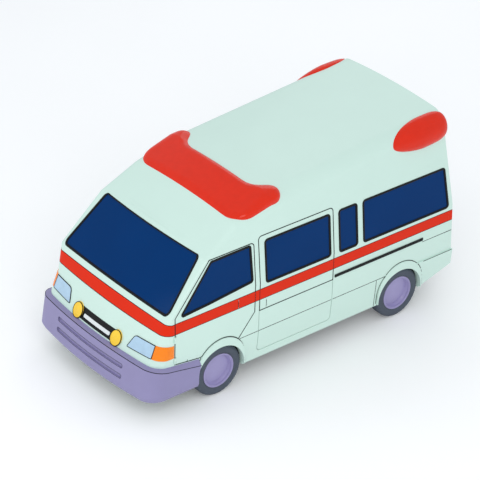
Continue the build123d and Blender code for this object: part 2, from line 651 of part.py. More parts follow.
# Front cross member with the arms that hold the kingpins
BEAM_HALF = 60.0
BEAM_X = (FRONT_AXLE_X - BEAM_HALF, FRONT_AXLE_X + BEAM_HALF)
beam = box(*BEAM_X, -RAIL_Y - 30, RAIL_Y + 30, RAIL_LOW_Z - 95, RAIL_LOW_Z)
beam = beam + box(*BEAM_X, -RAIL_Y + 20, RAIL_Y - 20, AXLE_Z - ARM_OFFSET - 20, RAIL_LOW_Z)
for z in (AXLE_Z - ARM_OFFSET, AXLE_Z + ARM_OFFSET):
    arm = Polygon(
        (FRONT_AXLE_X - BEAM_HALF, RAIL_Y - 30), (FRONT_AXLE_X + BEAM_HALF, RAIL_Y - 30),
        (FRONT_AXLE_X + 21, KINGPIN_Y), (FRONT_AXLE_X - 21, KINGPIN_Y), align=None)
    arm = arm + Pos(FRONT_AXLE_X, KINGPIN_Y) * Circle(22) - Pos(FRONT_AXLE_X, KINGPIN_Y) * Circle(PIN_BORE_R)
    arm = plan_prism(arm, z - ARM_T / 2, z + ARM_T / 2)
    beam = beam + arm + flip(arm)

# Steering knuckles
PIN_END = 14.0
BACKING_R = 128.0
post_low = AXLE_Z - ARM_OFFSET + ARM_T / 2 + SEAT
post_high = AXLE_Z + ARM_OFFSET - ARM_T / 2 - SEAT
at_pin = Pos(FRONT_AXLE_X, KINGPIN_Y)
knuckle = plan_prism(at_pin * Circle(20), post_low, post_high)
pin_reach = ARM_OFFSET + PIN_END
knuckle = knuckle + plan_prism(at_pin * Circle(PIN_R), AXLE_Z - pin_reach, AXLE_Z + pin_reach)
knuckle = knuckle + cyl_y(FRONT_AXLE_X, AXLE_Z, SPINDLE_R, KINGPIN_Y, WHEEL_MID_Y + SPINDLE_REACH)
knuckle = knuckle + cyl_y(FRONT_AXLE_X, AXLE_Z, BACKING_R, WHEEL_MID_Y - 26, WHEEL_MID_Y - 20)
nodes["knuckle_left"] = knuckle
nodes["knuckle_right"] = flip(knuckle)

# Rear axle with its differential, and leaf springs
TUBE_R = 38.0
HOUSING_R = 118.0
AXLE_NOSE = 170.0
axle = cyl_y(REAR_AXLE_X, AXLE_Z, TUBE_R, -WHEEL_MID_Y + 40, WHEEL_MID_Y - 40)
axle = axle + cyl_y(
    REAR_AXLE_X, AXLE_Z, SPINDLE_R, -WHEEL_MID_Y - SPINDLE_REACH, WHEEL_MID_Y + SPINDLE_REACH)
housing = Polygon(
    (0, -HOUSING_R), (HOUSING_R * 0.7, -HOUSING_R * 0.7), (HOUSING_R, -30), (HOUSING_R, 30),
    (HOUSING_R * 0.7, HOUSING_R * 0.7), (0, HOUSING_R), align=None)
axle = axle + Pos(REAR_AXLE_X, 0, AXLE_Z) * revolve(housing, axis=Axis.Y)
nodes["rear_axle"] = axle + cyl_x(0, AXLE_Z, 52, REAR_AXLE_X, REAR_AXLE_X + AXLE_NOSE)
SPRING_HALF = 430.0
SPRING_SAG = 60.0
SPRING_T = 30.0
SPRING_W = 56.0
spring_z = AXLE_Z + TUBE_R + 18
top_line = [
    (REAR_AXLE_X - SPRING_HALF, spring_z + SPRING_SAG + SPRING_T),
    (REAR_AXLE_X, spring_z + SPRING_T),
    (REAR_AXLE_X + SPRING_HALF, spring_z + SPRING_SAG + SPRING_T)]
low_line = [(x, z - SPRING_T) for x, z in top_line]
leaf = make_face(
    ThreePointArc(*top_line) + Line(top_line[2], low_line[2]) + ThreePointArc(*low_line[::-1])
    + Line(low_line[0], top_line[0]))
spring = side_prism(leaf, RAIL_Y - SPRING_W / 2, RAIL_Y + SPRING_W / 2)
for end in (top_line[0][0] + 20, top_line[2][0] - 20):
    spring = spring + box(end - 20, end + 20, RAIL_Y - 24, RAIL_Y + 24, spring_z + SPRING_SAG, RAIL_LOW_Z)
saddle = box(REAR_AXLE_X - 45, REAR_AXLE_X + 45, RAIL_Y - 34, RAIL_Y + 34, AXLE_Z + 8, spring_z + 10)
spring = spring + saddle - cyl_y(REAR_AXLE_X, AXLE_Z, TUBE_R + SEAT, 0, WIDE)
nodes["suspension"] = [beam, spring, flip(spring)]

# Engine with gearbox, propeller shaft, tank, exhaust
ENGINE_X = (FRONT_AXLE_X - 664, FRONT_AXLE_X - 124)
GEARBOX_X = ENGINE_X[0] - 380
SHAFT_Z = AXLE_Z + 188
ENGINE_HALF = between - 140
engine = box(*ENGINE_X, -ENGINE_HALF, ENGINE_HALF, AXLE_Z + 68, FLOOR_Z - 7)
engine = engine + cyl_x(0, SHAFT_Z, 105, GEARBOX_X, ENGINE_X[0])
for x in (ENGINE_X[0] + 90, ENGINE_X[1] - 110):
    engine = engine + box(x - 30, x + 30, -between, between, RAIL_LOW_Z + 20, RAIL_LOW_Z + 65)
nodes["engine"] = engine
SHAFT_R = 30.0
JOINT_R = 44.0
JOINT_L = 60.0
shaft_a = Vector(GEARBOX_X - SEAT, 0, SHAFT_Z)
shaft_b = Vector(REAR_AXLE_X + AXLE_NOSE + SEAT, 0, AXLE_Z)
joint_a = shaft_a - Vector(JOINT_L, 0, 0)
joint_b = shaft_b + Vector(JOINT_L, 0, 0)
run = joint_b - joint_a
shaft = extrude(Plane(joint_a, z_dir=run) * Circle(SHAFT_R), amount=run.length)
shaft = shaft + cyl_x(0, SHAFT_Z, JOINT_R, joint_a.X - 10, shaft_a.X)
nodes["propeller_shaft"] = shaft + cyl_x(0, AXLE_Z, JOINT_R, shaft_b.X, joint_b.X + 10)
TANK_X = (REAR_AXLE_X + 594, REAR_AXLE_X + 1174)
tank = box(*TANK_X, RAIL_Y + RAIL_W / 2 + 14, BODY_HALF - 105, FLOOR_Z - 225, FLOOR_Z)
nodes["fuel_tank"] = fillet(tank.edges().filter_by(Axis.X), 40)
EXHAUST_Y = -RAIL_Y - 72
EXHAUST_Z = RAIL_LOW_Z - 85
PIPE_R = 24.0
TAIL_DROP = 128.0
pipe_line = FilletPolyline(
    (ENGINE_X[0] + 230, -ENGINE_HALF - SEAT, EXHAUST_Z), (ENGINE_X[0] + 230, -ENGINE_HALF - 100, EXHAUST_Z),
    (ENGINE_X[0] + 130, EXHAUST_Y, EXHAUST_Z), (REAR_X + 270, EXHAUST_Y, EXHAUST_Z),
    (REAR_X + 110, EXHAUST_Y, EXHAUST_Z - TAIL_DROP), (REAR_X + 30, EXHAUST_Y, EXHAUST_Z - TAIL_DROP),
    radius=40)
pipe = sweep(Plane(pipe_line @ 0, z_dir=pipe_line % 0) * Circle(PIPE_R), path=pipe_line)
SILENCER_X = (ENGINE_X[0] - 750, ENGINE_X[0] - 170)
pipe = pipe + cyl_x(EXHAUST_Y, EXHAUST_Z, 66, *SILENCER_X)
hanger_x = (SILENCER_X[0] + SILENCER_X[1]) / 2
pipe = pipe + box(hanger_x - 30, hanger_x + 30, EXHAUST_Y + 10, -RAIL_Y + 10, EXHAUST_Z + 30, RAIL_LOW_Z)
nodes["exhaust"] = pipe

# Cab fittings
DASH_X = FRONT_X - 530
DASH_Z = (880.0, 1010.0)
SEAT_Y = BODY_HALF - 425
SEAT_FRONT_X = DASH_X - 150
SEAT_REAR_X = SEAT_FRONT_X - 470
nodes["dashboard"] = box(DASH_X, FAR, -BODY_HALF + 85, BODY_HALF - 85, *DASH_Z) & room
wheel_at = Plane((DASH_X - 145, -SEAT_Y, DASH_Z[1] + 110), z_dir=(-0.62, 0, 0.78))
HANDWHEEL_R = 178.0
GRIP_R = 14.0
grip = revolve(Pos(HANDWHEEL_R, 0) * RegularPolygon(GRIP_R, 8), axis=Axis.Y)
steering = wheel_at * Rot(90, 0, 0) * grip
steering = steering + wheel_at * Pos(0, 0, -125) * Cylinder(22, 270)
for spoke in (0, 120, 240):
    steering = steering + wheel_at * Rot(0, 0, spoke) * Pos(HANDWHEEL_R / 2, 0, 0) * Box(HANDWHEEL_R, 26, 12)
nodes["steering_wheel"] = steering - box(DASH_X - SEAT, FAR, -WIDE, WIDE, *DASH_Z)

# Cushions: cab seats, bench along the right wall, mattress; stretcher under the mattress
seat = box(SEAT_REAR_X, SEAT_FRONT_X, SEAT_Y - 230, SEAT_Y + 230, FLOOR_TOP, FLOOR_TOP + 270)
seat = seat + box(
    SEAT_REAR_X - 70, SEAT_REAR_X + 40, SEAT_Y - 220, SEAT_Y + 220, FLOOR_TOP + 200, FLOOR_TOP + 740)
bench = box(REAR_X + 350, SLIDE_REAR_X + 45, -BODY_HALF + 85, 465 - BODY_HALF, FLOOR_TOP, FLOOR_TOP + 380)
BED_X = (REAR_X + 270, SEAT_REAR_X - 500)
BED_Y = (BODY_HALF - 905, BODY_HALF - 345)
BED_Z = FLOOR_TOP + 240
BED_T = 35.0
MATTRESS_T = 80.0
BED_EDGE = 20.0
stretcher = box(*BED_X, *BED_Y, BED_Z, BED_Z + BED_T)
for x in (BED_X[0] + 140, BED_X[1] - 140):
    for y in (BED_Y[0] + 60, BED_Y[1] - 60):
        stretcher = stretcher + box(x - 20, x + 20, y - 20, y + 20, FLOOR_TOP, BED_Z)
nodes["stretcher"] = stretcher
mattress = box(
    BED_X[0] + BED_EDGE, BED_X[1] - BED_EDGE, BED_Y[0] + 10, BED_Y[1] - 10,
    BED_Z + BED_T, BED_Z + BED_T + MATTRESS_T)
nodes["cushions"] = [seat, flip(seat), bench, mattress]

# Wheels
BEAD_W = RIM_W / 2 - RIM_WALL - 2
DISH_Y = 22.0
DISH_T = 8.0
# radius, place across the wheel
tyre_half = [
    (RIM_SEAT_R + SEAT, BEAD_W), (RIM_FLANGE_R + 1, BEAD_W), (RIM_FLANGE_R + 22, TYRE_W / 2 - 4),
    (TYRE_R - 38, TYRE_W / 2), (TYRE_R - 10, TYRE_W / 2 - 10), (TYRE_R, TYRE_W / 2 - 28)]
rim_line = [
    (HUB_BORE_R, -14), (58, -14), (64, DISH_Y - DISH_T), (RIM_SEAT_R - RIM_WALL, DISH_Y - DISH_T),
    (RIM_SEAT_R - RIM_WALL, -RIM_W / 2), (RIM_FLANGE_R, -RIM_W / 2), (RIM_FLANGE_R, -RIM_W / 2 + RIM_WALL),
    (RIM_SEAT_R, -RIM_W / 2 + RIM_WALL), (RIM_SEAT_R, RIM_W / 2 - RIM_WALL),
    (RIM_FLANGE_R, RIM_W / 2 - RIM_WALL), (RIM_FLANGE_R, RIM_W / 2), (RIM_FLANGE_R - 8, RIM_W / 2),
    (RIM_SEAT_R - RIM_WALL - 8, DISH_Y),
    (0, DISH_Y), (0, SPINDLE_REACH + 2), (HUB_BORE_R, SPINDLE_REACH + 2)]


def turned(points):
    """A closed radius-width outline turned about the Y axis."""
    return revolve(make_face(Polyline(*points, close=True)), axis=Axis.Y)


tyre = turned(tyre_half + [(r, -w) for r, w in tyre_half[::-1]])
rim = turned(rim_line)
for name, (x, hand) in WHEELS.items():
    place = Pos(x, hand * WHEEL_MID_Y, AXLE_Z)
    nodes["tyre_" + name] = place * (tyre if hand > 0 else flip(tyre))
    nodes["rim_" + name] = place * (rim if hand > 0 else flip(rim))

# One file a node
os.makedirs("parts", exist_ok=True)
for name, shape in nodes.items():
    pieces = shape if isinstance(shape, list) else [shape]
    solids = [s for piece in pieces for s in piece.solids()]
    export_step(solids[0] if len(solids) == 1 else Compound(children=solids), f"parts/{name}.step")
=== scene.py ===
import json
import math

import bmesh
import bpy
from mathutils import Matrix, Vector
from mathutils.bvhtree import BVHTree
from mathutils.kdtree import KDTree


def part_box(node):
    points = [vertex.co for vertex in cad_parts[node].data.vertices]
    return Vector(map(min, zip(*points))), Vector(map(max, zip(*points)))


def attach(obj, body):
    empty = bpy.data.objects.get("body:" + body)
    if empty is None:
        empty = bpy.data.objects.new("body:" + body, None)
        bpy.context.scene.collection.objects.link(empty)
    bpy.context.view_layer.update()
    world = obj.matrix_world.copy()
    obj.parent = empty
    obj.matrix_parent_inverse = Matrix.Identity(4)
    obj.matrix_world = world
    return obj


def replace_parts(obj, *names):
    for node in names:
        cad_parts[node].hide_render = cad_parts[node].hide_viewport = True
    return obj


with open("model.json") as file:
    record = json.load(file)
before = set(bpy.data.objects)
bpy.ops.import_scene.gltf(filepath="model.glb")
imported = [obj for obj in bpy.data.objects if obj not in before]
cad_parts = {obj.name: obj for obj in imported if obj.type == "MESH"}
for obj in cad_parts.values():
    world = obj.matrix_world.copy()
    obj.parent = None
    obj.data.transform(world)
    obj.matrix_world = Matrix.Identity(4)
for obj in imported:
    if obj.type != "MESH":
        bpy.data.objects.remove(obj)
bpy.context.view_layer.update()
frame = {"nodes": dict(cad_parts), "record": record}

NODES = frame["nodes"]
BODY_OF = {n: b for b, ns in frame["record"]["behaviour"]["bodies"].items() for n in ns}
WHEELS = ("front_left", "front_right", "rear_left", "rear_right")


# Materials
def srgb(r, g, b):
    """Linear colour of an 8-bit screen colour."""
    def linear(c):
        return c / 12.92 if c <= 0.04045 else ((c + 0.055) / 1.055) ** 2.4

    return tuple(linear(c / 255) for c in (r, g, b)) + (1.0,)


def bump_from(tree, shader, height, strength, distance):
    bump = tree.nodes.new("ShaderNodeBump")
    bump.inputs["Strength"].default_value = strength
    bump.inputs["Distance"].default_value = distance
    tree.links.new(height, bump.inputs["Height"])
    tree.links.new(bump.outputs["Normal"], shader.inputs["Normal"])


def material(name, colour, rough=0.4, vary=0.06, scale=6.0, metal=0.0, coat=0.0, shine=0.5, alpha=1.0,
             glow=0.0, grain=0.0, grain_scale=400.0, ribs=0.0, rib_axis="Z", rib_scale=20.0):
    """Mottled colour with roughness that follows it, and either moulded lens ribs or a fine grain."""
    made = bpy.data.materials.new(name)
    made.use_nodes = True
    tree = made.node_tree
    shader = tree.nodes["Principled BSDF"]
    shader.inputs["Metallic"].default_value = metal
    shader.inputs["Coat Weight"].default_value = coat
    shader.inputs["Specular IOR Level"].default_value = shine
    shader.inputs["Coat Roughness"].default_value = 0.06
    shader.inputs["Alpha"].default_value = alpha
    if glow:
        shader.inputs["Emission Color"].default_value = colour
        shader.inputs["Emission Strength"].default_value = glow
    where = tree.nodes.new("ShaderNodeTexCoord")
    noise = tree.nodes.new("ShaderNodeTexNoise")
    noise.inputs["Scale"].default_value = scale
    noise.inputs["Detail"].default_value = 4.0
    tree.links.new(where.outputs["Object"], noise.inputs["Vector"])
    ramp = tree.nodes.new("ShaderNodeValToRGB")
    low, high = ramp.color_ramp.elements
    low.position = 0.3
    high.position = 0.7
    low.color = tuple(c * (1 - vary) for c in colour[:3]) + (1,)
    high.color = tuple(min(c * (1 + vary), 1) for c in colour[:3]) + (1,)
    tree.links.new(noise.outputs["Fac"], ramp.inputs["Fac"])
    tree.links.new(ramp.outputs["Color"], shader.inputs["Base Color"])
    spread = tree.nodes.new("ShaderNodeMapRange")
    spread.inputs["To Min"].default_value = max(rough - 0.05, 0.02)
    spread.inputs["To Max"].default_value = min(rough + 0.05, 1.0)
    tree.links.new(noise.outputs["Fac"], spread.inputs["Value"])
    tree.links.new(spread.outputs["Result"], shader.inputs["Roughness"])
    if ribs:
        wave = tree.nodes.new("ShaderNodeTexWave")
        wave.bands_direction = rib_axis
        wave.inputs["Scale"].default_value = rib_scale
        tree.links.new(where.outputs["Object"], wave.inputs["Vector"])
        bump_from(tree, shader, wave.outputs["Fac"], ribs, 0.004)
    elif grain:
        fine = tree.nodes.new("ShaderNodeTexNoise")
        fine.inputs["Scale"].default_value = grain_scale
        tree.links.new(where.outputs["Object"], fine.inputs["Vector"])
        bump_from(tree, shader, fine.outputs["Fac"], grain, 0.001)
    return made


LENS = {"coat": 0.05, "shine": 0.25, "vary": 0.05, "scale": 14.0}
MOULDED = {"grain": 0.25, "grain_scale": 700.0}
# finish: colour, roughness and what else the surface has
FINISHES = {
    "paint": (srgb(207, 233, 222), 0.38, {
        "vary": 0.010, "scale": 3.0, "coat": 0.1, "shine": 0.3, "grain": 0.03}),
    "stripe": (srgb(222, 44, 14), 0.42, {"vary": 0.02, "scale": 5.0, "shine": 0.1}),
    "stripe_edge": (srgb(40, 14, 12), 0.5, {"vary": 0.05, "shine": 0.1}),
    "glass": (srgb(0, 52, 108), 0.10, {"vary": 0.04, "scale": 2.0, "shine": 0.07, "alpha": 0.95}),
    # dark rubber round the panes, in the door seams and round the lamps; also the colour of the strips and
    # lines of painted shade
    "seal_and_shade": (srgb(14, 16, 18), 0.6, {"vary": 0.12, "scale": 40.0, "shine": 0.2, "grain": 0.15}),
    "beacon": (srgb(222, 42, 14), 0.12, {
        "vary": 0.03, "scale": 14.0, "shine": 0.25, "ribs": 0.04, "rib_axis": "Y", "rib_scale": 14.0}),
    "headlamp": (srgb(178, 208, 230), 0.12, {**LENS, "ribs": 0.4, "rib_axis": "Y", "rib_scale": 26.0}),
    "amber": (srgb(252, 134, 26), 0.16, {**LENS, "ribs": 0.3, "rib_axis": "Z", "rib_scale": 26.0}),
    "yellow": (srgb(255, 208, 62), 0.14, {**LENS, "ribs": 0.3, "rib_axis": "Y", "rib_scale": 34.0}),
    "tail": (srgb(196, 26, 22), 0.16, {**LENS, "ribs": 0.4, "rib_axis": "Z", "rib_scale": 24.0}),
    "bumper": (srgb(144, 138, 178), 0.50, {"vary": 0.03, "shine": 0.3, "scale": 5.0, **MOULDED}),
    "rim": (srgb(156, 148, 192), 0.40, {"vary": 0.03, "scale": 8.0, "coat": 0.2, "grain": 0.05}),
    "tyre": (srgb(74, 82, 94), 0.80, {"vary": 0.08, "scale": 24.0, "grain": 0.3, "grain_scale": 500.0}),
    "black": (srgb(14, 15, 16), 0.5, {"vary": 0.1, "scale": 20.0, "shine": 0.2, "grain": 0.2}),
    "plate": (srgb(226, 232, 232), 0.4, {"vary": 0.02, "scale": 10.0, "grain": 0.05}),
    "chassis": (srgb(38, 38, 42), 0.66, {"vary": 0.15, "scale": 12.0, "grain": 0.25}),
    "engine": (srgb(96, 96, 98), 0.6, {
        "vary": 0.15, "scale": 18.0, "metal": 0.4, "grain": 0.4, "grain_scale": 200.0}),
    "steel": (srgb(140, 140, 144), 0.45, {"vary": 0.1, "scale": 30.0, "metal": 0.8, "grain": 0.1}),
    "interior": (srgb(118, 122, 130), 0.62, {"vary": 0.05, "scale": 10.0, **MOULDED}),
    "floor": (srgb(104, 110, 114), 0.6, {"vary": 0.08, "scale": 30.0, "grain": 0.3, "grain_scale": 220.0}),
    "vinyl": (srgb(46, 62, 92), 0.5, {"vary": 0.06, "scale": 9.0, "grain": 0.3, "grain_scale": 380.0}),
    "alloy": (srgb(186, 188, 192), 0.32, {"vary": 0.05, "scale": 30.0, "metal": 0.9, "grain": 0.05}),
}
MATS = {key: material(key, colour, rough, **more) for key, (colour, rough, more) in FINISHES.items()}
GLASS_NODES = ("windshield", "side_glass", "door_glass_left", "door_glass_right", "tailgate_glass")
STRIPED_NODES = (
    "front_panel", "side_panels", "rear_posts", "door_left", "door_right", "slide_doors", "tailgate")
NODE_FINISH = {
    "paint": STRIPED_NODES + ("roof", "rear_bumper"),
    "glass": GLASS_NODES,
    "headlamp": ("headlamps",),
    "amber": ("turn_lamps",),
    "yellow": ("fog_lamps",),
    "tail": ("tail_lamps",),
    "beacon": ("beacons",),
    "bumper": ("front_bumper",),
    "black": ("grille", "slide_rails", "steering_wheel"),
    "interior": ("dashboard",),
    "floor": ("floor",),
    "chassis": ("chassis_frame", "wheel_houses", "suspension", "rear_axle", "fuel_tank"),
    "steel": ("knuckle_left", "knuckle_right", "propeller_shaft", "exhaust"),
    "engine": ("engine",),
    "alloy": ("stretcher",),
    "vinyl": ("cushions",),
    "tyre": tuple("tyre_" + w for w in WHEELS),
    "rim": tuple("rim_" + w for w in WHEELS),
}
for key, names in NODE_FINISH.items():
    for name in names:
        NODES[name].data.materials.clear()
        NODES[name].data.materials.append(MATS[key])


# Mesh helpers
def piece(name, verts, faces, finish, body, smooth=True):
    """A new mesh that rides on a body."""
    mesh = bpy.data.meshes.new(name)
    mesh.from_pydata(verts, [], faces)
    mesh.update()
    made = bpy.data.objects.new(name, mesh)
    bpy.context.scene.collection.objects.link(made)
    mesh.materials.append(MATS[finish])
    if smooth:
        mesh.shade_smooth()
    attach(made, body)
    return made


def crisp(made, degrees=35):
    """Keeps the edges sharper than an angle hard."""
    made.data.set_sharp_from_angle(angle=math.radians(degrees))
    return made


def merged(node):
    """The node's mesh with its doubled points merged."""
    bm = bmesh.new()
    bm.from_mesh(NODES[node].data)
    bmesh.ops.remove_doubles(bm, verts=bm.verts[:], dist=1e-5)
    bm.normal_update()
    return bm


def to_lists(bm):
    """Points and faces of a bmesh, which is freed."""
    bm.verts.index_update()
    verts = [v.co.copy() for v in bm.verts]
    faces = [[v.index for v in f.verts] for f in bm.faces]
    bm.free()
    return verts, faces


def islands(bm):
    """The faces of each solid of a merged mesh."""
    left = set(bm.faces)
    groups = []
    for first in bm.faces:
        if first not in left:
            continue
        left.remove(first)
        stack = [first]
        group = []
        while stack:
            face = stack.pop()
            group.append(face)
            for near in (f for e in face.edges for f in e.link_faces):
                if near in left:
                    left.remove(near)
                    stack.append(near)
        groups.append(group)
    return groups


def tree_of(*nodes):
    """Ray-casting tree of the faces of some nodes."""
    verts = []
    faces = []
    for node in nodes:
        mesh = NODES[node].data
        first = len(verts)
        verts += [v.co.copy() for v in mesh.vertices]
        faces += [[first + k for k in p.vertices] for p in mesh.polygons]
    return BVHTree.FromPolygons(verts, faces)


def rim_loops(bm, keep):
    """Ordered edges round some faces, each point with the mean normal of its kept faces."""
    kept = set(keep)
    links = {}
    for e in bm.edges:
        if sum(f in kept for f in e.link_faces) == 1:
            a, b = e.verts
            links.setdefault(a, []).append(b)
            links.setdefault(b, []).append(a)
    loops = []
    seen = set()
    for start in links:
        if start in seen:
            continue
        loop = []
        last = None
        now = start
        while now not in seen:
            seen.add(now)
            normal = sum((f.normal for f in now.link_faces if f in kept), Vector())
            loop.append((now.co.copy(), normal.normalized()))
            ahead = [v for v in links[now] if v is not last]
            last = now
            now = ahead[0]
        loops.append(loop)
    return loops


def outline_of(node, out):
    """Loops round the outward faces of a node; out gives the outward direction at a place."""
    bm = merged(node)
    loops = rim_loops(bm, [f for f in bm.faces if f.normal.dot(out(f.calc_center_median())) > 0.5])
    bm.free()
    return loops


def sideways(c):
    return Vector((0, math.copysign(1, c.y), 0))


def forward_up(c):
    return Vector((0.7, 0, 0.7))


def forward(c):
    return Vector((0.92, 0, 0.38))


def rearward(c):
    return Vector((-1, 0, 0))


def length_of(loop):
    return sum((loop[k][0] - loop[k - 1][0]).length for k in range(len(loop)))


def spaced(loop, step):
    """The loop with points closer than a step left out."""
    kept = [loop[0]]
    for point in loop[1:]:
        if (point[0] - kept[-1][0]).length > step:
            kept.append(point)
    return kept


def sweep_round(name, loop, profile, finish, body):
    """Carries a profile of inward and upward offsets round a loop."""
    points = [p for p, _ in loop]
    count = len(points)
    rows = len(profile)
    middle = sum(points, Vector()) / count
    mean = sum((n for _, n in loop), Vector())
    turn = sum(((points[k - 1] - middle).cross(points[k] - middle) for k in range(count)), Vector())
    hand = 1 if turn.dot(mean) > 0 else -1
    verts = []
    for k, (p, n) in enumerate(loop):
        ahead = (points[(k + 1) % count] - p).normalized()
        behind = (p - points[k - 1]).normalized()
        inward = n.cross((ahead + behind).normalized()).normalized() * hand
        spread = 1 / max(math.sqrt(max(1 + ahead.dot(behind), 0) / 2), 0.6)
        verts += [p + inward * (u * spread) + n * v for u, v in profile]
    faces = []
    for k in range(count):
        a = k * rows
        b = (k + 1) % count * rows
        faces += [(a + j, a + (j + 1) % rows, b + (j + 1) % rows, b + j) for j in range(rows)]
    return crisp(piece(name, verts, faces, finish, body))


def revolved(name, profile, at, segments, finish, body, cut=None):
    """Turns a closed radius-width profile about the Y axis through a place."""
    rows = len(profile)
    verts = []
    for i in range(segments):
        angle = 2 * math.pi * i / segments
        for j, (r, w) in enumerate(profile):
            r = r - (cut(i, j) if cut else 0)
            verts.append(at + Vector((r * math.sin(angle), w, r * math.cos(angle))))
    faces = []
    for i in range(segments):
        a = i * rows
        b = (i + 1) % segments * rows
        faces += [(a + j, b + j, b + (j + 1) % rows, a + (j + 1) % rows) for j in range(rows)]
    return piece(name, verts, faces, finish, body)


def middle_of(node):
    low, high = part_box(node)
    return (Vector(low) + Vector(high)) / 2


# Painted stripe, laid on the outer faces of the panels
STRIPE_Z = (0.880, 0.986)
STRIPE_EDGE = 0.006
STRIPE_LIFT = 0.0008
BANDS = (
    ("stripe", STRIPE_Z[0], STRIPE_Z[1]),
    ("stripe_edge", STRIPE_Z[0] - STRIPE_EDGE, STRIPE_Z[0]),
    ("stripe_edge", STRIPE_Z[1], STRIPE_Z[1] + STRIPE_EDGE))


def is_outer(node, face):
    """Whether a panel's face is on the outside of the body."""
    c = face.calc_center_median()
    n = face.normal
    side = n.dot(sideways(c)) > 0.6
    if node == "front_panel":
        return side or n.x > 0.2
    if node in ("tailgate", "rear_posts"):
        return n.x < -0.6 or (side and node == "rear_posts")
    return side


def band(node, finish, low, high):
    """Copies the outer faces of a panel between two heights, lifted off the panel."""
    bm = bmesh.new()
    bm.from_mesh(NODES[node].data)
    for z, is_top in ((low, False), (high, True)):
        every = bm.verts[:] + bm.edges[:] + bm.faces[:]
        bmesh.ops.bisect_plane(
            bm, geom=every, plane_co=(0, 0, z), plane_no=(0, 0, 1),
            clear_outer=is_top, clear_inner=not is_top)
    bmesh.ops.delete(bm, geom=[f for f in bm.faces if not is_outer(node, f)], context="FACES")
    bmesh.ops.remove_doubles(bm, verts=bm.verts[:], dist=1e-5)
    bm.normal_update()
    for v in bm.verts:
        v.co += v.normal * STRIPE_LIFT
    verts, faces = to_lists(bm)
    if faces:
        crisp(piece(f"{finish}_{node}_{round(low * 1000)}", verts, faces, finish, BODY_OF[node]))


for node in STRIPED_NODES:
    for finish, low, high in BANDS:
        band(node, finish, low, high)


# Rubber round the panes, in the seams of the doors and round the lamps
# sections of the rubbers: offset inward and offset outward from the edge
PANE_RUBBER = (
    (-0.005, 0.0034), (-0.005, 0.0056), (-0.002, 0.007), (0.014, 0.007), (0.019, 0.004), (0.020, 0.0003))
SEAM_RUBBER = (
    (0.0036, 0.0004), (0.0036, 0.0008), (-0.0058, 0.0008), (-0.0058, -0.012), (-0.0004, -0.012),
    (-0.0004, 0.0004))
LAMP_RUBBER = ((0.0055, -0.001), (0.0045, 0.0012), (-0.0015, 0.0012), (-0.0025, -0.0055))
PANE_OUT = {"windshield": forward_up, "tailgate_glass": rearward}
for node in GLASS_NODES:
    for k, loop in enumerate(outline_of(node, PANE_OUT.get(node, sideways))):
        sweep_round(f"pane_rubber_{node}_{k}", loop, PANE_RUBBER, "seal_and_shade", BODY_OF[node])
LOOP_STEP = 0.002
# node, its outward direction and the number of its outer seams
SEAMED = (
    ("door_left", sideways, 1), ("door_right", sideways, 1), ("slide_doors", sideways, 2),
    ("tailgate", rearward, 1))
for node, out, count in SEAMED:
    loops = sorted(outline_of(node, out), key=length_of)
    for k, loop in enumerate(loops[-count:]):
        sweep_round(f"seam_rubber_{node}_{k}", spaced(loop, LOOP_STEP), SEAM_RUBBER, "seal_and_shade", BODY_OF[node])
for node in ("headlamps", "fog_lamps"):
    for k, loop in enumerate(sorted(outline_of(node, forward), key=length_of)[-2:]):
        sweep_round(f"lamp_rubber_{node}_{k}", spaced(loop, LOOP_STEP), LAMP_RUBBER, "seal_and_shade", "body")


# Painted shade: dark strips on the floors of the pressed grooves and behind the handles
GROOVE_SHADE_HALF = 0.0040
GROOVE_SHADE_UNDER = 0.0003
GROOVE_SHADE_STEP = 0.012
GROOVE_MIN = 0.0025
# nodes, axis that the groove runs along, its place on the other axis, start and end
PRESSED = (
    (("side_panels",), "x", 0.540, -1.90, 1.00),
    (("side_panels",), "x", 0.758, -1.90, -1.40),
    (("slide_doors",), "x", 0.540, -0.40, 0.56),
    (("slide_doors",), "x", 0.758, -0.40, 0.56),
    (("side_panels",), "z", -0.919, 0.222, 0.54),
    (("slide_doors",), "z", 0.468, 0.768, 0.861),
    (("door_left", "door_right"), "z", 0.802, 0.879, 0.971))


def groove_shade(node, axis, at, start, end, hand):
    """A dark strip of painted shade over the floor of a groove, where the groove is there."""
    tree = tree_of(node)
    inward = Vector((0, -hand, 0))

    def meets(run, off):
        place = (run, 2 * hand, at + off) if axis == "x" else (at + off, 2 * hand, run)
        hit = tree.ray_cast(Vector(place), inward)[0]
        return hit if hit is not None and hit.y * hand > 0.5 else None

    verts = []
    faces = []
    last = None
    count = max(2, int((end - start) / GROOVE_SHADE_STEP))
    for k in range(count + 1):
        run = start + (end - start) * k / count
        floor, low, high = (meets(run, off) for off in (0, -3 * GROOVE_SHADE_HALF, 3 * GROOVE_SHADE_HALF))
        beside = [p.y * hand for p in (low, high) if p is not None]
        if floor is None or not beside or max(beside) - floor.y * hand < GROOVE_MIN:
            last = None
            continue
        across = Vector((0, 0, GROOVE_SHADE_HALF)) if axis == "x" else Vector((GROOVE_SHADE_HALF, 0, 0))
        middle = Vector((floor.x, hand * (max(beside) - GROOVE_SHADE_UNDER), floor.z))
        now = len(verts)
        verts += [middle - across, middle + across]
        if last is not None:
            faces.append((last, last + 1, now + 1, now))
        last = now
    if faces:
        side = "left" if hand > 0 else "right"
        piece(f"filler_{node}_{axis}_{round(at * 1000)}_{side}", verts, faces, "seal_and_shade", BODY_OF[node])


for nodes, axis, at, start, end in PRESSED:
    for node in nodes:
        for hand in (1, -1):
            groove_shade(node, axis, at, start, end, hand)


# Dark lines: painted shade at the foot of the brows of the arches, along the ledge and round the slots of the
# front bumper; dark lines where the rear bumper meets the side panels and along the rear posts; a
# paint-coloured strip over the roof joint
LINE_HALF = 0.0036
LINE_LIFT = 0.0006
BROW_R = 0.285
BROW_MID_Z = 0.340
BROW_LOW_Z = 0.250
POST_X = -1.790


